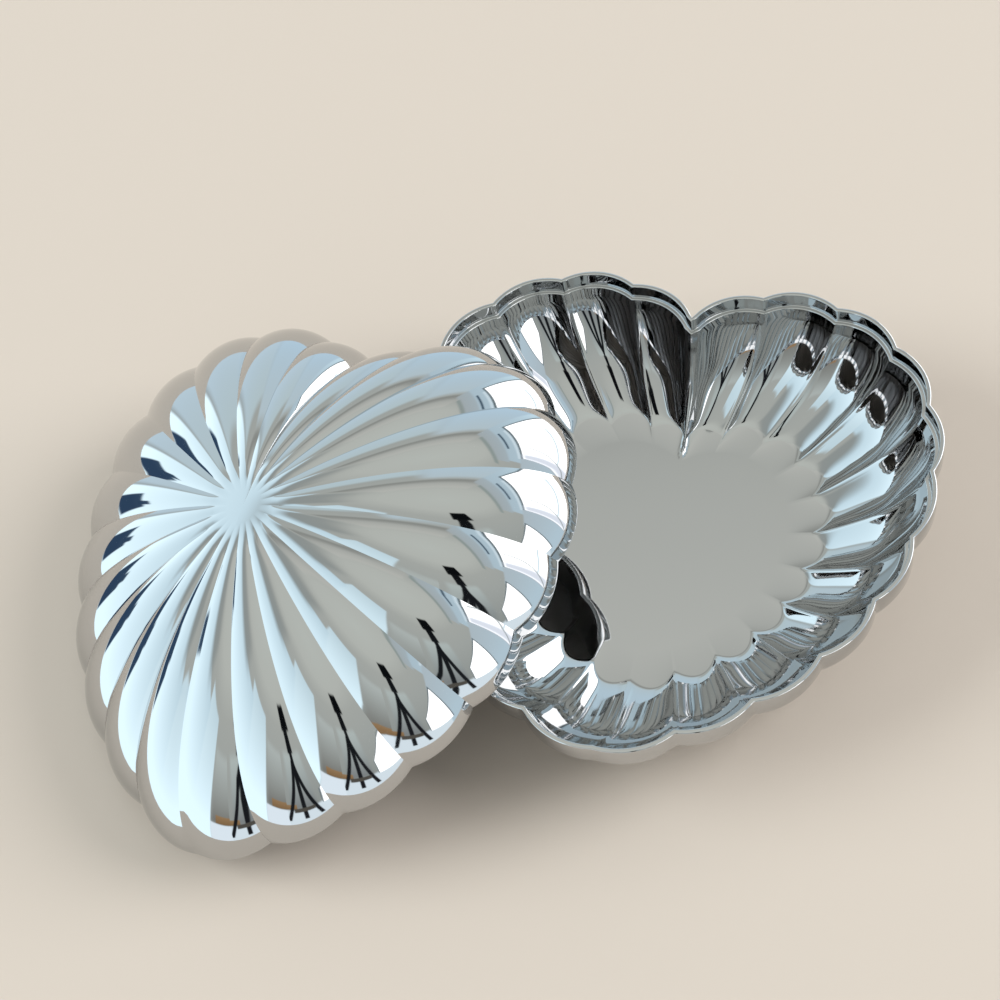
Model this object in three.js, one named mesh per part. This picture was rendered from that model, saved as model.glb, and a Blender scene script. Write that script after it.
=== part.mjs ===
// Fluted heart bonbonniere in polished metal: an open dish and its lift-off lid.
// The lid leans on the dish: two places of its lip rest over the dish's rim, one on the table.
// Millimetres, +Z up. The origin is in the underside of the dish, where all its flutes point.

import * as THREE from 'three';
import { mergeVertices } from 'three/addons/utils/BufferGeometryUtils.js';

// Heart outline at the rim, along the creases between the petals
const heartHalfWidth = 60;
const widestLineAhead = 9.8;
const lobeRise = 42;
const lobeTopOffset = 22.8;
const tipDrop = 78.6;

// Petals
const petalsEachSide = 11;
const facetsPerPetal = 6;
const petalRise = 1.85;

// Dish
const dishHeight = 28.2;
const floorShare = 0.556;
const floorThickness = 1.6;
const dishWall = 1.5;
const rimWidth = 1.1;
const collarDepth = 3.8;
const ledgeWidth = 0.9;
const rimRounding = 0.3;

// Bowl: a soft fillet at the floor's edge, a bend part of the way out, an upright end at the rim
const floorFillet = 0.1;
const wallBend = 1.6;
const wallBendAt = 0.68;
const wallBendSoftness = 0.14;
const uprightEnd = 0.2;
const uprightSharpness = 12;
const uprightRoundness = 1.5;
const floorSwell = 3.2;
const wallDrop = 0.7;

// Lid
const domeHeight = 29.6;
const domeFall = 1.94;
const domeRoundness = 1.92;
const lidOverhang = 1.5;
const lidWall = 1.5;
const smoothCrownShare = 0.055;
const fullFluteShare = 0.15;
const lipDepth = 3.6;
const lipWall = 1.2;
const lipClearance = 0.4;

// How the lid lies against the dish
const lidCentreX = -73.3;
const lidCentreY = -30.9;
const lidTurn = THREE.MathUtils.degToRad(-8.8);
const restGap = 0.3;

// Stations along each profile, as shares of the way from the middle to the rim
const domeStations = [0.07, 0.15, 0.3, 0.47, 0.63, 0.77, 0.88, 0.95, 0.985];
const vaultStations = [0.94, 0.82, 0.62, 0.34];
const outerBowlStations = [0, 0.12, 0.3, 0.56, 0.76, 0.9, 1];
const innerBowlStations = [0.92, 0.78, 0.6, 0.35, 0.15, 0];

// How sharply the lid's hollow passes behind the lip, as a power of the way out
const lipBlend = 12;

// Vertices closer than this are one, and the lean is settled by this many rounds
const weldDistance = 1e-4;
const leanRounds = 40;

const silver = new THREE.MeshStandardMaterial({ color: 0xc9ccce, roughness: 0.04, metalness: 1 });

const turns = 2 * petalsEachSide * facetsPerPetal;

// The right half of the heart from notch to tip: an elliptic lobe, then an arc down to the tip
function halfHeart() {
  const lobeReach = heartHalfWidth - lobeTopOffset;
  const sideRadius = (heartHalfWidth ** 2 + tipDrop ** 2) / (2 * heartHalfWidth);
  const notchAngle = Math.acos(-lobeTopOffset / lobeReach);
  const tipAngle = Math.acos(1 - heartHalfWidth / sideRadius);
  const path = new THREE.CurvePath();
  path.add(new THREE.EllipseCurve(
    lobeTopOffset, widestLineAhead, lobeReach, lobeRise, notchAngle, 0, true));
  path.add(new THREE.EllipseCurve(
    heartHalfWidth - sideRadius, widestLineAhead, sideRadius, sideRadius, 0, -tipAngle, true));
  return path;
}

// Evenly spaced places on the whole outline, clockwise from the notch, each with its outward
// direction and how far its petal swells there, from 0 in a crease to 1 on the petal's crown
function outlinePlaces() {
  const steps = petalsEachSide * facetsPerPetal;
  const right = halfHeart().getSpacedPoints(steps);
  right[0].x = 0;
  right[steps].x = 0;
  const left = right.slice(1, -1).reverse().map((point) => new THREE.Vector2(-point.x, point.y));
  const ring = [...right, ...left];
  return ring.map((point, index) => {
    const before = ring[(index + turns - 1) % turns];
    const after = ring[(index + 1) % turns];
    const along = after.clone().sub(before).normalize();
    const across = (index % facetsPerPetal) / facetsPerPetal;
    return { point, outward: new THREE.Vector2(-along.y, along.x), swell: 4 * across * (1 - across) };
  });
}

const places = outlinePlaces();

// A point of a station above a place. share scales the heart, inset moves in from it, and each
// petal's crown swells by out sideways and by up upward.
function stationPoint(station, place) {
  const { share, inset = 0, height, out = 0, up = 0 } = station;
  const push = out * place.swell - inset;
  return new THREE.Vector3(
    place.point.x * share + place.outward.x * push,
    place.point.y * share + place.outward.y * push,
    height + up * place.swell);
}

// One closed wall: a profile turned on a lathe, then each turn carried over to the heart
function heartSolid(stations) {
  const profile = stations.map(({ share, height }) => new THREE.Vector2(share, height));
  const solid = new THREE.LatheGeometry(profile, turns);
  const position = solid.getAttribute('position');
  for (let index = 0; index < position.count; index++) {
    const place = places[Math.floor(index / stations.length) % turns];
    const point = stationPoint(stations[index % stations.length], place);
    position.setXYZ(index, point.x, point.y, point.z);
  }
  return welded(solid);
}

// Shared vertices merged, and the empty triangles at the two ends of the profile dropped
function welded(geometry) {
  geometry.deleteAttribute('normal');
  geometry.deleteAttribute('uv');
  const merged = mergeVertices(geometry, weldDistance);
  const corners = merged.getIndex().array;
  const kept = [];
  for (let first = 0; first < corners.length; first += 3) {
    const [a, b, c] = corners.slice(first, first + 3);
    if (a !== b && b !== c && c !== a) kept.push(a, b, c);
  }
  merged.setIndex(kept);
  merged.computeVertexNormals();
  return merged;
}

// How far the bowl has climbed at a share of the way from the floor's edge to the rim, unscaled
function bowlClimb(way) {
  const bent = (place) => {
    const past = place - wallBendAt;
    return (past + Math.hypot(past, wallBendSoftness)) / 2;
  };
  const gentle = Math.hypot(way, floorFillet) - floorFillet;
  const upright = 1 - (1 - way ** uprightSharpness) ** (1 / uprightRoundness);
  return gentle + wallBend * (bent(way) - bent(0)) + uprightEnd * upright;
}

// The dish, from the middle of its underside round the rim to the middle of its floor
function dishStations() {
  const ledgeHeight = dishHeight - collarDepth;
  const ledgeInset = rimWidth + ledgeWidth;

  // The drop is greatest two thirds of the way out, where way² (1 - way) is 4 / 27
  const bowl = (way, lowest, highest, inset) => ({
    share: floorShare + (1 - floorShare) * way,
    inset: inset * way,
    height: lowest + (highest - lowest) * bowlClimb(way) / bowlClimb(1),
    out: petalRise * way + floorSwell * (1 - way) ** 2,
    up: -wallDrop * (27 / 4) * way ** 2 * (1 - way),
  });

  const rim = { share: 1, out: petalRise };
  return [
    { share: 0, height: 0 },
    ...outerBowlStations.map((way) => bowl(way, 0, ledgeHeight - dishWall, 0)),
    { ...rim, height: dishHeight - rimRounding },
    { ...rim, inset: rimRounding, height: dishHeight },
    { ...rim, inset: rimWidth, height: dishHeight },
    { ...rim, inset: rimWidth, height: ledgeHeight },
    { ...rim, inset: ledgeInset, height: ledgeHeight },
    ...innerBowlStations.map((way) => bowl(way, floorThickness, ledgeHeight, ledgeInset)),
    { share: 0, height: floorThickness },
  ].reverse();
}

// How far in from the lid's petals its lip stands, so that it drops inside the dish's collar
const lipInset = lidOverhang + rimWidth + lipClearance;

// The lid, from its crown over the petals and round the lip to the middle of its hollow.
// Its own zero height is the lower edge of the petals, which meets the dish's rim when closed.
function lidStations() {
  const hollowInset = lipInset + lipWall;

  const dome = (share, height) => {
    const rest = 1 - share ** domeFall;
    const climb = height / heartHalfWidth * (domeFall / domeRoundness)
      * share ** (domeFall - 1) * rest ** (1 / domeRoundness - 1);
    const flute = THREE.MathUtils.smoothstep(share, smoothCrownShare, fullFluteShare);
    const up = petalRise * share * flute / Math.hypot(climb, 1);
    return {
      share,
      inset: -lidOverhang * share,
      height: height * rest ** (1 / domeRoundness),
      out: up * climb,
      up,
    };
  };

  const vault = (share) => {
    const station = dome(share, domeHeight - lidWall);
    const behindLip = (hollowInset - lidWall) * share ** lipBlend;
    return { ...station, inset: station.inset + lidWall * share + behindLip };
  };

  const edge = { share: 1, out: petalRise };
  return [
    { share: 0, height: domeHeight },
    ...domeStations.map((share) => dome(share, domeHeight)),
    { ...edge, inset: -lidOverhang, height: 0 },
    { ...edge, inset: lipInset - lidOverhang, height: 0 },
    { ...edge, inset: lipInset - lidOverhang, height: -lipDepth },
    { ...edge, inset: hollowInset - lidOverhang, height: -lipDepth },
    { ...edge, inset: hollowInset - lidOverhang, height: 0 },
    ...vaultStations.map(vault),
    { share: 0, height: domeHeight - lidWall },
  ];
}

function ringAt(station) {
  return places.map((place) => stationPoint(station, place));
}

// Where two closed rings cross in plan
function crossings(ring, other) {
  const found = [];
  ring.forEach((start, index) => {
    const end = ring[(index + 1) % ring.length];
    other.forEach((from, step) => {
      const to = other[(step + 1) % other.length];
      const runX = end.x - start.x;
      const runY = end.y - start.y;
      const otherX = to.x - from.x;
      const otherY = to.y - from.y;
      const turn = runX * otherY - runY * otherX;
      const along = ((from.x - start.x) * otherY - (from.y - start.y) * otherX) / turn;
      const across = ((from.x - start.x) * runY - (from.y - start.y) * runX) / turn;
      if (along >= 0 && along < 1 && across >= 0 && across < 1) {
        found.push(new THREE.Vector2(start.x + runX * along, start.y + runY * along));
      }
    });
  });
  return found;
}

// The lid's lean: its lip's lower edge meets the dish's rim in two places and the table in one
function leaningPose() {
  const lip = ringAt({ share: 1, out: petalRise, inset: lipInset - lidOverhang, height: -lipDepth });
  const rim = ringAt({ share: 1, out: petalRise, height: dishHeight });
  const turn = new THREE.Matrix4().makeRotationZ(lidTurn);
  const pose = new THREE.Matrix4();
  const uphill = new THREE.Vector2(1, 0);
  let slope = dishHeight / (2 * heartHalfWidth);
  let lift = 0;
  for (let round = 0; round < leanRounds; round++) {
    const axis = new THREE.Vector3(uphill.y, -uphill.x, 0);
    pose.makeRotationAxis(axis, Math.atan(slope)).multiply(turn);
    pose.setPosition(lidCentreX, lidCentreY, 0);
    const lying = lip.map((point) => point.clone().applyMatrix4(pose));
    const lowest = lying.reduce((low, point) => (point.z < low.z ? point : low));
    lift = -lowest.z;
    const touches = crossings(lying, rim).sort((one, two) => one.y - two.y);
    const near = touches[0];
    const far = touches[touches.length - 1];
    uphill.set(far.y - near.y, near.x - far.x).normalize();
    const reach = uphill.dot(near.clone().sub(lowest));
    slope = (dishHeight + restGap) / reach;
  }
  return pose.setPosition(lidCentreX, lidCentreY, lift);
}

const bonbonniere = new THREE.Group();

const dish = new THREE.Mesh(heartSolid(dishStations()), silver);
dish.name = 'dish';
bonbonniere.add(dish);

const lid = new THREE.Mesh(heartSolid(lidStations()), silver.clone());
lid.name = 'lid';
leaningPose().decompose(lid.position, lid.quaternion, lid.scale);
bonbonniere.add(lid);

export default bonbonniere;
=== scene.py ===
"""Fluted heart bonbonniere in mirror-polished silver plate: an open dish and its lift-off lid."""

import logging
import math
from dataclasses import astuple, dataclass, field, replace
from enum import Enum
from itertools import pairwise

import bmesh
import bpy
import numpy as np
from mathutils import Matrix, Vector


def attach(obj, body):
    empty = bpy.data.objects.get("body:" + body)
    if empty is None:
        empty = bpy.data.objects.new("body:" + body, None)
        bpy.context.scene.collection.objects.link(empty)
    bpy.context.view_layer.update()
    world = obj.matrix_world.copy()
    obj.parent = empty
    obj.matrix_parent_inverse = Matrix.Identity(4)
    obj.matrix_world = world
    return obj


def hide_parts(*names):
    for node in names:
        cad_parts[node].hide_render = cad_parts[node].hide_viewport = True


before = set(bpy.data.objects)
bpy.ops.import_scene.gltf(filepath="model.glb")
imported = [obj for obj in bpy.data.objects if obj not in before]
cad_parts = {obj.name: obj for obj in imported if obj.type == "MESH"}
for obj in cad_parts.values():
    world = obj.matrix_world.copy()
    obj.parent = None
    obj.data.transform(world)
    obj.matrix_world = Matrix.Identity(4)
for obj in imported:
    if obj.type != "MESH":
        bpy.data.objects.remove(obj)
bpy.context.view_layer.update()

# Metres in a millimetre.
MM = 0.001
# Points of a wall that are closer than this, in millimetres, are one point.
WELD = 1e-4
# The attribute that marks where the buff doesn't reach.
UNBUFFED = "unbuffed"

log = logging.getLogger("bonbonniere")


class Node(Enum):
    """The object's nodes in the shared frame."""

    DISH = "dish"
    LID = "lid"


@dataclass(frozen=True)
class Place:
    """One place on the heart's outline.

    point is its position at the rim, outward the direction that faces away from the heart, and
    swell how far the petal stands out there, from 0 in a crease to 1 on the petal's crown.
    """

    point: Vector
    outward: Vector
    swell: float


@dataclass(frozen=True)
class Station:
    """One ring of a wall, in millimetres.

    share scales the heart's outline and inset moves in from it. Each petal's crown swells by out
    sideways and by up upward.
    """

    share: float
    height: float
    inset: float = 0.0
    out: float = 0.0
    up: float = 0.0

    def point(self, place: Place) -> Vector:
        """Gives the ring's point at a place of the outline.

        Args:
            place: The place on the heart's outline.

        Returns:
            The point in millimetres.
        """
        flat = place.point * self.share + place.outward * (self.out * place.swell - self.inset)
        return Vector((flat.x, flat.y, self.height + self.up * place.swell))

    def toward(self, other: "Station", part: float) -> "Station":
        """Gives the station that lies part of the way to another one.

        Args:
            other: The station at the end of the way.
            part: How much of the way, from 0 to 1.

        Returns:
            The station in between.
        """
        pairs = zip(astuple(self), astuple(other))
        return Station(*(here * (1 - part) + there * part for here, there in pairs))

    def gap(self, other: "Station") -> float:
        """Gives the way to another station in section, where the heart is widest."""
        sideways = (self.share - other.share) * HeartOutline.half_width - (self.inset - other.inset)
        return math.hypot(sideways, self.height - other.height)


@dataclass(frozen=True)
class HeartOutline:
    """The heart along the creases between its petals: a lobe and a long side, twice.

    Lengths are in millimetres. A lobe is part of an ellipse, and a side part of a circle that
    starts where the heart is widest and runs down to the tip. arc_steps is how finely both are
    measured before they are cut into equal petals.
    """

    half_width: float = 60.0
    widest_line_ahead: float = 9.8
    lobe_rise: float = 42.0
    lobe_top_offset: float = 22.8
    tip_drop: float = 78.6
    petals_each_side: int = 11
    arc_steps: int = 4000

    def right_half(self, steps: int) -> list[Vector]:
        """Walks the right half from the notch to the tip.

        Args:
            steps: The number of equal steps along the outline.

        Returns:
            The points at the steps' ends.
        """
        reach = self.half_width - self.lobe_top_offset
        side_radius = (self.half_width ** 2 + self.tip_drop ** 2) / (2 * self.half_width)
        notch_angle = math.acos(-self.lobe_top_offset / reach)
        tip_angle = math.acos(1 - self.half_width / side_radius)
        path = []
        for step in range(self.arc_steps):
            angle = notch_angle * (1 - step / self.arc_steps)
            path.append(Vector((self.lobe_top_offset + reach * math.cos(angle),
                                self.widest_line_ahead + self.lobe_rise * math.sin(angle))))
        for step in range(self.arc_steps + 1):
            angle = -tip_angle * step / self.arc_steps
            path.append(Vector((self.half_width - side_radius * (1 - math.cos(angle)),
                                self.widest_line_ahead + side_radius * math.sin(angle))))
        lengths = [0.0]
        for here, there in pairwise(path):
            lengths.append(lengths[-1] + (there - here).length)
        points, index = [], 0
        for step in range(steps + 1):
            wanted = lengths[-1] * step / steps
            while index < len(path) - 2 and lengths[index + 1] < wanted:
                index += 1
            part = (wanted - lengths[index]) / (lengths[index + 1] - lengths[index])
            points.append(path[index].lerp(path[index + 1], part))
        points[0].x = points[-1].x = 0.0
        return points

    def places(self, facets: int) -> list[Place]:
        """Walks the whole heart clockwise from the notch.

        Args:
            facets: The number of equal steps across each petal.

        Returns:
            The places at the steps' ends.
        """
        right = self.right_half(self.petals_each_side * facets)
        ring = right + [Vector((-point.x, point.y)) for point in reversed(right[1:-1])]
        places = []
        for index, point in enumerate(ring):
            along = (ring[(index + 1) % len(ring)] - ring[index - 1]).normalized()
            across = (index % facets) / facets
            # The petal's swell is a parabola: 0 in both creases and 1 midway between them.
            places.append(Place(point, Vector((-along.y, along.x)), 4 * across * (1 - across)))
        return places


def soften(stations: list[Station], corners: dict[int, float], steps: int = 4) -> list[Station]:
    """Rounds some of a profile's corners.

    Args:
        stations: The profile.
        corners: The rounding of each corner in millimetres, by the station's index.
        steps: The number of steps round a corner.

    Returns:
        The profile with the corners rounded.
    """
    rounded = []
    for index, station in enumerate(stations):
        if index not in corners:
            rounded.append(station)
            continue
        before, after = stations[index - 1], stations[index + 1]
        start = station.toward(before, corners[index] / station.gap(before))
        end = station.toward(after, corners[index] / station.gap(after))
        for step in range(steps + 1):
            part = step / steps
            rounded.append(start.toward(station, part).toward(station.toward(end, part), part))
    return rounded


@dataclass
class FlutedHeart:
    """What the dish and the lid share: the heart, its petals and the way a wall is turned.

    Lengths are in millimetres. petal_rise is how far a petal's crown stands out from its creases
    at the rim, and unbuffed_rings how many of the last stations the buff doesn't reach.
    """

    name: str = "heart"
    node: Node = Node.DISH
    outline: HeartOutline = field(default_factory=HeartOutline)
    petal_rise: float = 1.85
    facets_per_petal: int = 16
    rim_width: float = 1.1
    crisp_creases: bool = True
    unbuffed_rings: int = 0

    def stations(self) -> list[Station]:
        """Gives the wall's profile, from the axis round to the axis."""
        raise NotImplementedError

    def pose(self) -> Matrix:
        """Gives where the piece stands, in millimetres."""
        return Matrix.Identity(4)

    def shell(self) -> bpy.types.Object:
        """Turns the profile round and carries each turn over to the heart.

        Returns:
            The wall as an object with its place in its mesh.
        """
        stations = self.stations()
        places = self.outline.places(self.facets_per_petal)
        wall = bmesh.new()
        ring_of = wall.verts.layers.int.new("ring")
        unbuffed = wall.verts.layers.float.new(UNBUFFED)
        half_width = self.outline.half_width
        profile = []
        for number, station in enumerate(stations):
            vertex = wall.verts.new((0, station.share * half_width - station.inset, station.height))
            vertex[ring_of] = number
            vertex[unbuffed] = float(number >= len(stations) - self.unbuffed_rings)
            profile.append(vertex)
        edges = [wall.edges.new(pair) for pair in pairwise(profile)]
        bmesh.ops.spin(wall, geom=profile + edges, cent=(0, 0, 0), axis=(0, 0, -1), dvec=(0, 0, 0),
                       angle=math.tau, steps=len(places), use_merge=True, use_duplicate=False)
        self.carry_over(wall, ring_of, stations, places)
        bmesh.ops.remove_doubles(wall, verts=wall.verts, dist=WELD)
        bmesh.ops.transform(wall, matrix=Matrix.Scale(MM, 4) @ self.pose(), verts=wall.verts)
        bmesh.ops.recalc_face_normals(wall, faces=wall.faces)
        for face in wall.faces:
            face.smooth = True
        mesh = bpy.data.meshes.new(self.name)
        wall.to_mesh(mesh)
        wall.free()
        piece = bpy.data.objects.new(self.name, mesh)
        bpy.context.collection.objects.link(piece)
        return piece

    def carry_over(self, wall: bmesh.types.BMesh, ring_of: bmesh.types.BMLayerItem,
                   stations: list[Station], places: list[Place]) -> None:
        """Moves the turned wall's points onto the heart and marks the creases sharp.

        Args:
            wall: The turned wall.
            ring_of: The layer that holds each point's station.
            stations: The wall's profile.
            places: The places round the heart's outline.
        """
        turns = len(places)
        turn_of = wall.verts.layers.int.new("turn")
        for vertex in wall.verts:
            turn = round(math.atan2(vertex.co.x, vertex.co.y) / math.tau * turns) % turns
            vertex[turn_of] = turn
            vertex.co = stations[vertex[ring_of]].point(places[turn])
        for edge in wall.edges:
            one, two = edge.verts
            in_crease = one[turn_of] == two[turn_of] and one[turn_of] % self.facets_per_petal == 0
            fluted = min(stations[one[ring_of]].out, stations[two[ring_of]].out) > 0
            if in_crease and fluted and self.crisp_creases:
                edge.smooth = False


@dataclass
class Dish(FlutedHeart):
    """The open dish: a flat floor, a fluted bowl, a plain collar over a ledge, and a flat rim.

    Along the bowl a way runs from 0 at the floor's edge to 1 at the rim. floor_fillet rounds the
    foot of the wall, wall_bend is how much more steeply the wall climbs past wall_bend_at, and
    the three upright numbers turn its top upright. The petals swell by floor_swell at the floor
    and by petal_rise at the rim, and in between their crowns sink by wall_drop at most.
    """

    name: str = "silver_dish"
    node: Node = Node.DISH
    height: float = 28.2
    crisp_creases: bool = False
    floor_share: float = 0.556
    floor_thickness: float = 1.6
    wall: float = 1.5
    floor_fillet: float = 0.1
    wall_bend: float = 1.6
    wall_bend_at: float = 0.68
    wall_bend_softness: float = 0.14
    upright_end: float = 0.2
    upright_sharpness: float = 12.0
    upright_roundness: float = 1.5
    floor_swell: float = 3.2
    wall_drop: float = 0.7
    collar_depth: float = 3.8
    ledge_width: float = 0.9
    rim_rounding: float = 0.3
    edge_rounding: float = 0.2
    bowl_steps: int = 36
    floor_steps: int = 6

    def bend(self, way: float) -> float:
        """Gives a ramp that is flat before the wall's bend and rises after it."""
        past = way - self.wall_bend_at
        return (past + math.hypot(past, self.wall_bend_softness)) / 2

    def climb(self, way: float) -> float:
        """Gives how far the bowl has climbed: gently past the floor's edge, then more steeply.

        Args:
            way: How far from the floor's edge to the rim, from 0 to 1.

        Returns:
            The climb, with no unit.
        """
        gentle = math.hypot(way, self.floor_fillet) - self.floor_fillet
        upright = 1 - (1 - way ** self.upright_sharpness) ** (1 / self.upright_roundness)
        steep = self.wall_bend * (self.bend(way) - self.bend(0))
        return gentle + steep + self.upright_end * upright

    def bowl(self, way: float, lowest: float, highest: float, inset: float) -> Station:
        """Gives a station of one of the bowl's faces.

        Args:
            way: How far from the floor's edge to the rim, from 0 to 1.
            lowest: The face's height at the floor.
            highest: The face's height at the collar.
            inset: How far in from the outline the face ends.

        Returns:
            The station.
        """
        height = lowest + (highest - lowest) * self.climb(way) / self.climb(1)
        out = self.petal_rise * way + self.floor_swell * (1 - way) ** 2
        # way ** 2 * (1 - way) is at most 4 / 27, which makes wall_drop the deepest drop.
        drop = self.wall_drop * 27 / 4 * way ** 2 * (1 - way)
        return Station(self.floor_share + (1 - self.floor_share) * way, height,
                       inset=inset * way, out=out, up=-drop)

    def stations(self) -> list[Station]:
        """Gives the profile from the middle of the underside over the rim to the floor's middle.

        Returns:
            The stations.
        """
        ledge_height = self.height - self.collar_depth
        ledge_inset = self.rim_width + self.ledge_width
        ways = [step / self.bowl_steps for step in range(self.bowl_steps + 1)]
        shares = [self.floor_share * step / self.floor_steps for step in range(self.floor_steps)]
        under = [Station(share, 0) for share in shares]
        under += [self.bowl(way, 0, ledge_height - self.wall, 0) for way in ways]
        rim = Station(1, self.height, out=self.petal_rise)
        edge = [
            rim,
            replace(rim, inset=self.rim_width),
            replace(rim, inset=self.rim_width, height=ledge_height),
            replace(rim, inset=ledge_inset, height=ledge_height),
        ]
        inside = [self.bowl(way, self.floor_thickness, ledge_height, ledge_inset)
                  for way in reversed(ways[:-1])]
        inside += [Station(share, self.floor_thickness) for share in reversed(shares)]
        first = len(under)
        corners = {first: self.rim_rounding, first + 1: self.rim_rounding,
                   first + 2: self.edge_rounding, first + 3: self.edge_rounding}
        return soften(under + edge + inside, corners)


@dataclass
class Lid(FlutedHeart):
    """The domed lid: petals that fade out round a smooth crown, and a lip for the dish's collar.

    dome_fall and dome_roundness are the powers of the dome's curve. The petals start at
    smooth_crown_share and are whole from full_flute_share on. Inside, the hollow runs down behind
    the lip, the more sharply the greater lip_blend is. The lid lies with its middle at centre_x
    and centre_y and turned by turn. rest_gap is the play between it and the dish's rim.
    """

    name: str = "silver_lid"
    node: Node = Node.LID
    dish: Dish = field(default_factory=Dish)
    dome_height: float = 29.6
    dome_fall: float = 1.94
    dome_roundness: float = 1.92
    overhang: float = 1.5
    wall: float = 1.5
    smooth_crown_share: float = 0.1
    full_flute_share: float = 0.165
    lip_depth: float = 3.6
    lip_wall: float = 1.2
    lip_clearance: float = 0.4
    lip_blend: float = 12.0
    # The hollow's outermost rings would fall inside the lip's wall.
    rings_in_lip: int = 2
    edge_rounding: float = 0.35
    dome_steps: int = 44
    # All of the hollow's rings but the one beside the lip.
    unbuffed_rings: int = 41
    centre_x: float = -73.3
    centre_y: float = -30.9
    turn: float = math.radians(-8.8)
    rest_gap: float = 0.3
    contact_facets: int = 6
    rounds: int = 14

    @property
    def lip_inset(self) -> float:
        """How far in from the petals the lip stands, so that it drops inside the dish's collar."""
        return self.overhang + self.rim_width + self.lip_clearance

    def dome(self, share: float, top: float) -> Station:
        """Gives a station of the dome.

        Args:
            share: How far out from the crown's middle, from 0 to 1.
            top: The dome's height at its middle.

        Returns:
            The station.
        """
        rest = 1 - share ** self.dome_fall
        climb = (top / self.outline.half_width * (self.dome_fall / self.dome_roundness)
                 * share ** (self.dome_fall - 1) * rest ** (1 / self.dome_roundness - 1))
        way = (share - self.smooth_crown_share) / (self.full_flute_share - self.smooth_crown_share)
        way = min(1.0, max(0.0, way))
        rise = self.petal_rise * share * way * way * (3 - 2 * way) / math.hypot(climb, 1)
        return Station(share, top * rest ** (1 / self.dome_roundness), inset=-self.overhang * share,
                       out=rise * climb, up=rise)

    def vault(self, share: float) -> Station:
        """Gives a station of the hollow under the dome.

        Args:
            share: How far out from the crown's middle, from 0 to 1.

        Returns:
            The station.
        """
        station = self.dome(share, self.dome_height - self.wall)
        behind_lip = (self.lip_inset + self.lip_wall - self.wall) * share ** self.lip_blend
        return replace(station, inset=station.inset + self.wall * share + behind_lip)

    def stations(self) -> list[Station]:
        """Gives the profile from the crown over the petals and round the lip to the hollow.

        Returns:
            The stations.
        """
        quarter = math.pi / 2
        shares = [math.sin(quarter * step / self.dome_steps) ** (2 / self.dome_fall)
                  for step in range(self.dome_steps)]
        edge = Station(1, 0, out=self.petal_rise)
        lip_face = self.lip_inset - self.overhang
        outside = [self.dome(share, self.dome_height) for share in shares]
        lip = [
            replace(edge, inset=-self.overhang),
            replace(edge, inset=lip_face),
            replace(edge, inset=lip_face, height=-self.lip_depth),
            replace(edge, inset=lip_face + self.lip_wall, height=-self.lip_depth),
            replace(edge, inset=lip_face + self.lip_wall),
        ]
        inside = [self.vault(share) for share in reversed(shares[:-self.rings_in_lip])]
        first = len(outside)
        corners = {first + corner: self.edge_rounding for corner in (0, 2, 3)}
        return soften(outside + lip + inside, corners)

    def pose(self) -> Matrix:
        """Leans the lid: its lip meets the dish's rim in two places and the floor in one.

        Each round finds the two places where the lip crosses the rim, and leans the lid anew.

        Returns:
            The lid's place in millimetres.
        """
        places = self.outline.places(self.contact_facets)
        edge = Station(1, -self.lip_depth, inset=self.lip_inset - self.overhang,
                       out=self.petal_rise)
        lip = [edge.point(place) for place in places]
        rim = [Station(1, self.dish.height, out=self.petal_rise).point(place) for place in places]
        uphill = Vector((1, 0))
        slope = self.dish.height / (2 * self.outline.half_width)
        for _ in range(self.rounds):
            lean = Matrix.Rotation(math.atan(slope), 4, Vector((uphill.y, -uphill.x, 0)))
            place = Matrix.Translation((self.centre_x, self.centre_y, 0))
            pose = place @ lean @ Matrix.Rotation(self.turn, 4, "Z")
            lying = [pose @ point for point in lip]
            lowest = min(lying, key=lambda point: point.z)
            touches = sorted(crossings(lying, rim), key=lambda point: point.y)
            near, far = touches[0], touches[-1]
            uphill = Vector((far.y - near.y, near.x - far.x)).normalized()
            slope = (self.dish.height + self.rest_gap) / uphill.dot(near - lowest.xy)
        pose.translation.z = -lowest.z
        return pose


def crossings(ring: list[Vector], other: list[Vector]) -> list[Vector]:
    """Finds where two closed rings cross in plan.

    Args:
        ring: The first ring's points.
        other: The second ring's points.

    Returns:
        The crossing points.
    """
    found = []
    for index, start in enumerate(ring):
        run = ring[(index + 1) % len(ring)].xy - start.xy
        for step, begin in enumerate(other):
            other_run = other[(step + 1) % len(other)].xy - begin.xy
            turn = run.cross(other_run)
            offset = begin.xy - start.xy
            along, across = offset.cross(other_run) / turn, offset.cross(run) / turn
            if 0 <= along < 1 and 0 <= across < 1:
                found.append(start.xy + run * along)
    return found


def linear(code: str, alpha: float = 1.0) -> tuple[float, float, float, float]:
    """Turns an sRGB hex colour to linear.

    Args:
        code: The colour as #rrggbb.
        alpha: Its opacity.

    Returns:
        Linear red, green, blue and alpha.
    """
    channels = [int(code[start:start + 2], 16) / 255 for start in (1, 3, 5)]
    red, green, blue = (part / 12.92 if part <= 0.04045 else ((part + 0.055) / 1.055) ** 2.4
                        for part in channels)
    return red, green, blue, alpha


def add_node(tree: bpy.types.NodeTree, kind: str,
             links: dict[str | int, bpy.types.NodeSocket] | None = None,
             values: dict[str | int, object] | None = None, **settings: object) -> bpy.types.Node:
    """Adds a node to a tree.

    Args:
        tree: The node tree.
        kind: The node's type name, without ShaderNode.
        links: The output socket that feeds each named or numbered input.
        values: The value of each named or numbered input.
        settings: The node's own properties.

    Returns:
        The node.
    """
    node = tree.nodes.new("ShaderNode" + kind)
    for name, setting in settings.items():
        setattr(node, name, setting)
    for name, value in (values or {}).items():
        node.inputs[name].default_value = value
    for name, output in (links or {}).items():
        tree.links.new(output, node.inputs[name])
    return node


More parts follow.
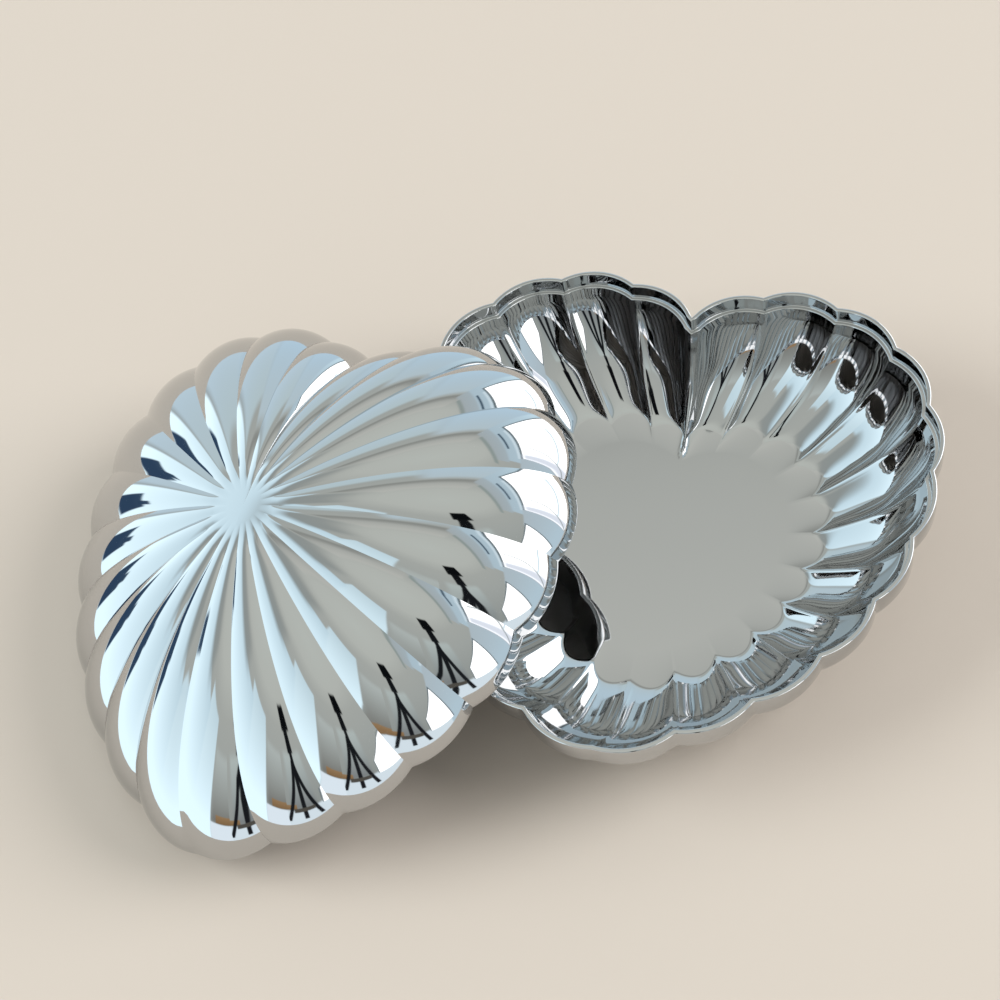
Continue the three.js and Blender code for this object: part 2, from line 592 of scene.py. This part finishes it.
def blank_material(name: str) -> bpy.types.Material:
    """Starts a material with no nodes.

    Args:
        name: The material's name.

    Returns:
        The material.
    """
    material = bpy.data.materials.new(name)
    material.use_nodes = True
    material.node_tree.nodes.clear()
    return material


@dataclass(frozen=True)
class PolishedSilver:
    """Silver plate over pressed metal, buffed to a mirror.

    The plate gives the eye a clear picture of the room, only a little darker. The buff leaves a
    faint haze in patches and hair-fine lines, and the pressing a slow waviness that bends
    reflections a little. Inside the lid, where the buff doesn't reach, the plate stays satin.

    Sizes and depths are in millimetres. The buff's lines lie a few hundredths of a millimetre
    apart on real plate, too fine to show, so line_spacing draws them ten times coarser.
    line_stretch draws the lines out along Y and less so along Z. The haze comes in where its
    noise rises from haze_starts to haze_full.
    """

    name: str = "mirror_polished_silver_plate"
    colour: str = "#bfc0c1"
    roughness: float = 0.025
    haze: float = 0.035
    haze_size: float = 14.0
    haze_starts: float = 0.42
    haze_full: float = 0.75
    satin: float = 0.3
    line_spacing: float = 0.45
    line_stretch: tuple[float, float, float] = (1.0, 0.06, 0.3)
    line_strength: float = 0.02
    line_depth: float = 0.01
    wave_size: float = 22.0
    wave_depth: float = 0.03

    def material(self) -> bpy.types.Material:
        """Builds the finish.

        Returns:
            The material.
        """
        finish = blank_material(self.name)
        tree = finish.node_tree
        where = add_node(tree, "TexCoord").outputs["Object"]
        haze = add_node(tree, "TexNoise", {"Vector": where},
                        {"Scale": 1 / (self.haze_size * MM), "Detail": 5.0, "Roughness": 0.6})
        rough = add_node(tree, "MapRange", {"Value": haze.outputs["Fac"]},
                         {"From Min": self.haze_starts, "From Max": self.haze_full,
                          "To Min": self.roughness, "To Max": self.roughness + self.haze})
        inside = add_node(tree, "Attribute", attribute_name=UNBUFFED)
        dulled = add_node(tree, "Math", {0: inside.outputs["Fac"], 2: rough.outputs["Result"]},
                          {1: self.satin}, operation="MULTIPLY_ADD")
        wave = add_node(tree, "TexNoise", {"Vector": where},
                        {"Scale": 1 / (self.wave_size * MM), "Detail": 1.0})
        waviness = add_node(tree, "Bump", {"Height": wave.outputs["Fac"]},
                            {"Strength": 1.0, "Distance": self.wave_depth * MM})
        stretched = add_node(tree, "Mapping", {"Vector": where}, {"Scale": self.line_stretch})
        line = add_node(tree, "TexNoise", {"Vector": stretched.outputs["Vector"]},
                        {"Scale": 1 / (self.line_spacing * MM), "Detail": 2.0})
        lines = add_node(tree, "Bump",
                         {"Height": line.outputs["Fac"], "Normal": waviness.outputs["Normal"]},
                         {"Strength": self.line_strength, "Distance": self.line_depth * MM})
        shader = add_node(tree, "BsdfPrincipled",
                          {"Roughness": dulled.outputs["Value"], "Normal": lines.outputs["Normal"]},
                          {"Base Color": linear(self.colour), "Metallic": 1.0})
        add_node(tree, "OutputMaterial", {"Surface": shader.outputs["BSDF"]})
        return finish


@dataclass(frozen=True)
class MattPaint:
    """Matt paint on a smooth floor, which gives the eye an even pale tone with no shine."""

    name: str = "pale_floor"
    colour: str = "#cfc4b6"
    roughness: float = 0.8

    def material(self) -> bpy.types.Material:
        """Builds the finish.

        Returns:
            The material.
        """
        finish = blank_material(self.name)
        tree = finish.node_tree
        shader = add_node(tree, "BsdfPrincipled", None,
                          {"Base Color": linear(self.colour), "Roughness": self.roughness})
        add_node(tree, "OutputMaterial", {"Surface": shader.outputs["BSDF"]})
        return finish


@dataclass(frozen=True)
class PaintedLight:
    """The even glow of walls and panes, read from the light that is painted on each point."""

    name: str = "painted_light"
    attribute: str = "light"

    def material(self) -> bpy.types.Material:
        """Builds the glow.

        Returns:
            The material.
        """
        glow = blank_material(self.name)
        # It shows only in reflections, so no rays are aimed at it as at a lamp.
        glow.cycles.emission_sampling = "NONE"
        tree = glow.node_tree
        paint = add_node(tree, "Attribute", attribute_name=self.attribute)
        shine = add_node(tree, "Emission", {"Color": paint.outputs["Color"]})
        add_node(tree, "OutputMaterial", {"Surface": shine.outputs["Emission"]})
        return glow


def smooth_edge(values: np.ndarray, edge: float, soft: float) -> np.ndarray:
    """Rises from 0 to 1 across a soft edge.

    Args:
        values: Places on the axis.
        edge: The middle of the edge.
        soft: Half the edge's width.

    Returns:
        The share at each place, from 0 to 1.
    """
    way = np.clip((values - edge + soft) / (2 * soft), 0, 1)
    return way * way * (3 - 2 * way)


def shade(low: str, high: str, part: np.ndarray) -> np.ndarray:
    """Blends two sRGB hex colours in linear light.

    Args:
        low: The colour where part is 0.
        high: The colour where part is 1.
        part: The share of high at each place.

    Returns:
        The linear colour at each place.
    """
    start, end = (np.array(linear(code)[:3]) for code in (low, high))
    return start + (end - start) * np.clip(part, 0, 1)[:, None]


@dataclass(frozen=True)
class Glow:
    """One soft-edged patch of the room as the metal sees it.

    Angles are in degrees: azimuth 0 looks along +Y and 90 along +X, elevation is above the
    horizon. The colour runs from low, at the patch's foot, to high, at its top, and strength makes
    it brighter than the hex code can say. soft is half the width of the patch's edges. lean shifts
    the patch sideways by so many degrees for each degree of elevation. A patch with facing lies on
    a flat wall whose middle is at that azimuth: its elevations hold there and sink to both sides.
    """

    azimuth: tuple[float, float]
    elevation: tuple[float, float]
    low: str
    high: str
    strength: float = 1.0
    soft: float = 2.0
    lean: float = 0.0
    facing: float | None = None

    def level(self, azimuth: np.ndarray, elevation: np.ndarray) -> np.ndarray:
        """Gives the elevation at the middle of the patch's wall that some directions meet.

        Args:
            azimuth: The directions' azimuths.
            elevation: The directions' elevations.

        Returns:
            The elevations at the wall's middle, or the directions' own ones with no wall.
        """
        if self.facing is None:
            return elevation
        across = np.cos(np.radians(azimuth - self.facing))
        return np.degrees(np.arctan2(np.tan(np.radians(elevation)), across))

    def cover(self, azimuth: np.ndarray, elevation: np.ndarray) -> np.ndarray:
        """Tells how much of the patch shows in some directions.

        Args:
            azimuth: The directions' azimuths.
            elevation: The directions' elevations.

        Returns:
            The share in each direction, from 0 to 1.
        """
        cover = np.ones_like(azimuth)
        for values, (start, end) in ((azimuth + self.lean * elevation, self.azimuth),
                                     (elevation, self.elevation)):
            cover *= smooth_edge(values, start, self.soft) - smooth_edge(values, end, self.soft)
        return cover[:, None]

    def colour(self, elevation: np.ndarray) -> np.ndarray:
        """Gives the patch's colour at some elevations.

        Args:
            elevation: The elevations.

        Returns:
            The linear colour at each elevation.
        """
        # A patch that starts below the horizon has its foot's colour up to the horizon.
        foot = max(0.0, self.elevation[0])
        rise = max(self.soft, self.elevation[1] - foot)
        return shade(self.low, self.high, (elevation - foot) / rise) * self.strength


# The bare room behind the patches: its colour at each elevation.
CEILING = (
    (-90, "#8a8780"), (0, "#8c918e"), (40, "#9ea29e"),
    (58, "#a3a6a1"), (70, "#b0b3ad"), (90, "#b3b7b1"),
)
# The walls behind the camera and the brightness at floor level, on both sides of azimuth 180.
LOW_GLOW = (
    Glow((100, 190), (-95, 0), "#d3dfe6", "#d3dfe6", soft=2),
    Glow((15, 75), (-95, -3), "#6f8496", "#6f8496", soft=3),
    Glow((-190, -157), (1, 44), "#706f6a", "#adb4b1", soft=3),
    Glow((144, 174), (1, 46), "#787c7d", "#aeb7b4", soft=3),
    Glow((-190, -155), (-95, 0), "#dbe6ee", "#dbe6ee", soft=1),
    Glow((-190, -162), (0.5, 8), "#7d6345", "#927656", soft=0.6),
    Glow((168, 190), (0.5, 6), "#7d6345", "#927656", soft=0.6),
)
# A dimmer part of the ceiling and its paler border.
CEILING_PATCH = (
    Glow((-60, 10), (49, 57.5), "#7c7e7a", "#a4a6a1", soft=2.5),
    Glow((-60, 10), (56, 66), "#a4a6a1", "#b4b5af", soft=2.5),
)
# Wide panes to the left, the shade over them, and a dark thing on the sill.
LEFT_WINDOW = (
    Glow((-155, -128), (-25, 54), "#dff5fe", "#b6cad2", 1.1, soft=1),
    Glow((-130, -60), (-25, 46), "#dff5fe", "#b4cad4", 1.1, soft=1.5),
    Glow((-116, -66), (42, 60), "#8a9190", "#8f9390", soft=6),
    Glow((-92, -72), (-8, 5), "#2c4058", "#34485e", soft=1),
    Glow((-86, -80), (3, 8), "#2c4058", "#34485e", soft=0.8, lean=0.6),
)
# Pale wall beyond the object.
FAR_WALL = (
    Glow((-58, -20), (-25, 35), "#b0c3ce", "#b0c0c4", soft=4),
    Glow((-22, 22), (-25, 45), "#adc4d3", "#b0bfc5", soft=4),
)
# The windows' wall: pale wall, the ceiling's edge, a dark frame round each bright pane, and the
# narrow uprights and rails between them. A later patch covers an earlier one.
RIGHT_WINDOWS = (
    Glow((4, 92), (-25, 60), "#bed6e2", "#a9bcc6", soft=1.2, facing=60),
    Glow((4, 96), (59, 67), "#a2afb5", "#a0a8aa", soft=1.2, facing=60),
    Glow((12, 104), (66, 68), "#8b9592", "#8b9592", soft=0.8, facing=60),
    Glow((16, 84), (50.5, 52.5), "#c8d8e0", "#c8d8e0", soft=0.8, facing=60),
    Glow((9.5, 82.5), (-10, 50.3), "#5f6b70", "#5f6b70", soft=0.5, facing=60),
    Glow((11, 81.5), (-10, 48.5), "#ffffff", "#ffffff", 1.8, soft=0.6, facing=60),
    Glow((72, 81.5), (-10, 48.5), "#dde2ec", "#dde2ec", soft=3, facing=60),
    Glow((76, 77.6), (-10, 46), "#9ba3a4", "#9ba3a4", soft=0.6, lean=0.44),
    Glow((24, 72), (7.5, 10.5), "#cfe0e8", "#cfe0e8", soft=1.2),
    Glow((18, 60), (56.3, 57.6), "#3f5262", "#3f5262", soft=0.5, facing=60),
    Glow((82.5, 110), (-25, 51), "#b0c4cf", "#abb8bf", soft=1, facing=60),
    Glow((105.6, 137.6), (-10, 50.3), "#5f6b70", "#5f6b70", soft=0.5, facing=60),
    Glow((107, 136.5), (-10, 48.5), "#ffffff", "#ffffff", 1.6, soft=0.6, facing=60),
)
# A dark lamp's head, neck and pole, two slanting legs, and their foot.
LAMP_STAND = (
    Glow((150, 167), (57, 67.5), "#0b0d0f", "#0b0d0f", soft=1),
    Glow((155, 164), (46, 58.5), "#141619", "#101214", soft=0.8),
    Glow((157, 162), (-15, 48), "#1a1c1f", "#15171a", soft=0.7),
    Glow((172.3, 176.8), (-15, 42), "#1a1c1f", "#15171a", soft=0.7, lean=0.34),
    Glow((143.7, 148.2), (-15, 42), "#1a1c1f", "#15171a", soft=0.7, lean=-0.34),
    Glow((147, 172), (-4, 1), "#4d4a44", "#4d4a44", soft=0.8),
)


@dataclass(frozen=True)
class Room:
    """What the mirror-bright metal reflects: a grey ceiling, soft windows and a dark lamp stand.

    gain makes up for the light that the plate takes, so that a patch shows in the metal at about
    its own colour. radius is in millimetres, and segments is how many strips of azimuth there are.
    """

    radius: float = 5000.0
    segments: int = 720
    gain: float = 1.87
    paint: PaintedLight = PaintedLight()
    glows: tuple[Glow, ...] = (LOW_GLOW + CEILING_PATCH + LEFT_WINDOW + FAR_WALL + RIGHT_WINDOWS
                               + LAMP_STAND)

    def light_from(self, azimuth: np.ndarray, elevation: np.ndarray) -> np.ndarray:
        """Gives the light that comes from some directions.

        Args:
            azimuth: The directions' azimuths in degrees.
            elevation: The directions' elevations in degrees.

        Returns:
            The linear colour for each direction.
        """
        light = shade(CEILING[0][1], CEILING[0][1], elevation)
        for (low, below), (high, above) in pairwise(CEILING):
            step = shade(below, above, (elevation - low) / (high - low))
            light = np.where((elevation > low)[:, None], step, light)
        for glow in self.glows:
            level = glow.level(azimuth, elevation)
            light += (glow.colour(level) - light) * glow.cover(azimuth, level)
        return light * self.gain

    def dome(self) -> bpy.types.Object:
        """Paints the room on a wide dome that shows only in reflections.

        Returns:
            The dome.
        """
        # The sheet runs from -1 to 1 both ways: every azimuth across, every elevation up.
        sheet = bmesh.new()
        bmesh.ops.create_grid(sheet, x_segments=self.segments, y_segments=self.segments // 2,
                              size=1)
        dome = stage_object("room", sheet, self.paint.material())
        flat = np.empty(3 * len(dome.data.vertices))
        dome.data.vertices.foreach_get("co", flat)
        azimuth, elevation = np.radians(flat[0::3] * 180), np.radians(flat[1::3] * 90)
        ways = np.stack((np.sin(azimuth) * np.cos(elevation), np.cos(azimuth) * np.cos(elevation),
                         np.sin(elevation)), axis=1)
        dome.data.vertices.foreach_set("co", (ways * self.radius * MM).ravel())
        light = self.light_from(np.degrees(azimuth), np.degrees(elevation))
        painted = dome.data.attributes.new(self.paint.attribute, "FLOAT_COLOR", "POINT")
        painted.data.foreach_set("color", np.insert(light, 3, 1, axis=1).ravel())
        dome.visible_camera = dome.visible_diffuse = dome.visible_shadow = False
        return dome


def stage_object(name: str, form: bmesh.types.BMesh,
                 material: bpy.types.Material) -> bpy.types.Object:
    """Makes an object of the stage.

    Args:
        name: The object's name.
        form: Its shape, which is freed.
        material: Its finish.

    Returns:
        The object.
    """
    mesh = bpy.data.meshes.new(name)
    form.to_mesh(mesh)
    form.free()
    mesh.materials.append(material)
    thing = bpy.data.objects.new(name, mesh)
    bpy.context.collection.objects.link(thing)
    return thing


@dataclass(frozen=True)
class SoftBox:
    """A large soft light, seen from the object at an azimuth and an elevation in degrees.

    It lights the floor but stays out of the reflections, where the painted room stands for it.
    """

    name: str
    azimuth: float
    elevation: float
    power: float
    colour: str
    size: float = 2400.0
    distance: float = 3600.0

    def hang(self) -> bpy.types.Object:
        """Hangs the light.

        Returns:
            The light.
        """
        data = bpy.data.lights.new(self.name, "AREA")
        data.shape = "DISK"
        data.size = self.size * MM
        data.energy = self.power
        data.color = linear(self.colour)[:3]
        light = bpy.data.objects.new(self.name, data)
        turn, rise = math.radians(self.azimuth), math.radians(self.elevation)
        way = Vector((math.sin(turn) * math.cos(rise), math.cos(turn) * math.cos(rise),
                      math.sin(rise)))
        light.location = way * self.distance * MM
        light.rotation_euler = way.to_track_quat("Z", "Y").to_euler()
        light.visible_glossy = light.visible_camera = False
        bpy.context.collection.objects.link(light)
        return light


@dataclass(frozen=True)
class Studio:
    """The camera, the pale floor and the soft light, in millimetres.

    near_floor is the radius of the disc that the metal reflects. The floor goes on past it, but
    there the reflections show the painted room instead.
    """

    camera_place: tuple[float, float, float] = (74.5, -238.16, 411.18)
    camera_target: tuple[float, float, float] = (-40.86, 3.92, 0.0)
    camera_roll: float = math.radians(-14.2)
    lens: float = 73.76
    sensor: float = 36.0
    near_floor: float = 330.0
    near_floor_centre: tuple[float, float, float] = (-60.0, 180.0, 0.0)
    far_floor: float = 6000.0
    floor_sides: int = 96
    fill_colour: str = "#f2f4f5"
    fill: float = 0.62
    soft_boxes: tuple[SoftBox, ...] = (
        SoftBox("left_window_light", -105, 34, 84, "#eef6fb"),
        SoftBox("right_window_light", 72, 34, 97, "#fbfbff"),
    )

    def camera(self) -> bpy.types.Object:
        """Sets the camera at the photograph's viewing angle.

        Returns:
            The camera.
        """
        data = bpy.data.cameras.new("camera")
        data.lens = self.lens
        data.sensor_width = self.sensor
        camera = bpy.data.objects.new("camera", data)
        place = Vector(self.camera_place)
        look = (Vector(self.camera_target) - place).to_track_quat("-Z", "Y").to_matrix()
        turned = look @ Matrix.Rotation(self.camera_roll, 3, "Z")
        camera.matrix_world = Matrix.Translation(place * MM) @ turned.to_4x4()
        bpy.context.collection.objects.link(camera)
        bpy.context.scene.camera = camera
        return camera

    def floor(self) -> None:
        """Lays the floor: a disc that the metal reflects, and the rest round it."""
        material = MattPaint().material()
        disc = bmesh.new()
        centre = Matrix.Translation(Vector(self.near_floor_centre) * MM)
        bmesh.ops.create_circle(disc, cap_ends=True, segments=self.floor_sides,
                                radius=self.near_floor * MM, matrix=centre)
        stage_object("floor", disc, material)
        ring = bmesh.new()
        bmesh.ops.create_circle(ring, segments=self.floor_sides, radius=self.near_floor * MM,
                                matrix=centre)
        grown = bmesh.ops.extrude_edge_only(ring, edges=ring.edges)["geom"]
        outer = [part for part in grown if isinstance(part, bmesh.types.BMVert)]
        bmesh.ops.scale(ring, vec=Vector((1, 1, 1)) * self.far_floor / self.near_floor, verts=outer)
        bmesh.ops.recalc_face_normals(ring, faces=ring.faces)
        stage_object("far_floor", ring, material).visible_glossy = False

    def light(self) -> None:
        """Lights the floor softly and shows colours as they are."""
        Room().dome()
        for box in self.soft_boxes:
            box.hang()
        world = bpy.data.worlds.new("fill")
        world.use_nodes = True
        fill = world.node_tree.nodes["Background"]
        fill.inputs["Color"].default_value = linear(self.fill_colour)
        fill.inputs["Strength"].default_value = self.fill
        bpy.context.scene.world = world
        bpy.context.scene.view_settings.view_transform = "Standard"


def main() -> None:
    """Builds the dish, the lid and the studio."""
    logging.basicConfig(level=logging.INFO, format="%(name)s: %(message)s")
    silver = PolishedSilver().material()
    for heart in (Dish(), Lid()):
        piece = heart.shell()
        piece.data.materials.append(silver)
        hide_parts(heart.node.value)
        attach(piece, "root")
        log.info("%s: %d faces", piece.name, len(piece.data.polygons))
    studio = Studio()
    studio.camera()
    studio.floor()
    studio.light()


if __name__ == "__main__":
    main()
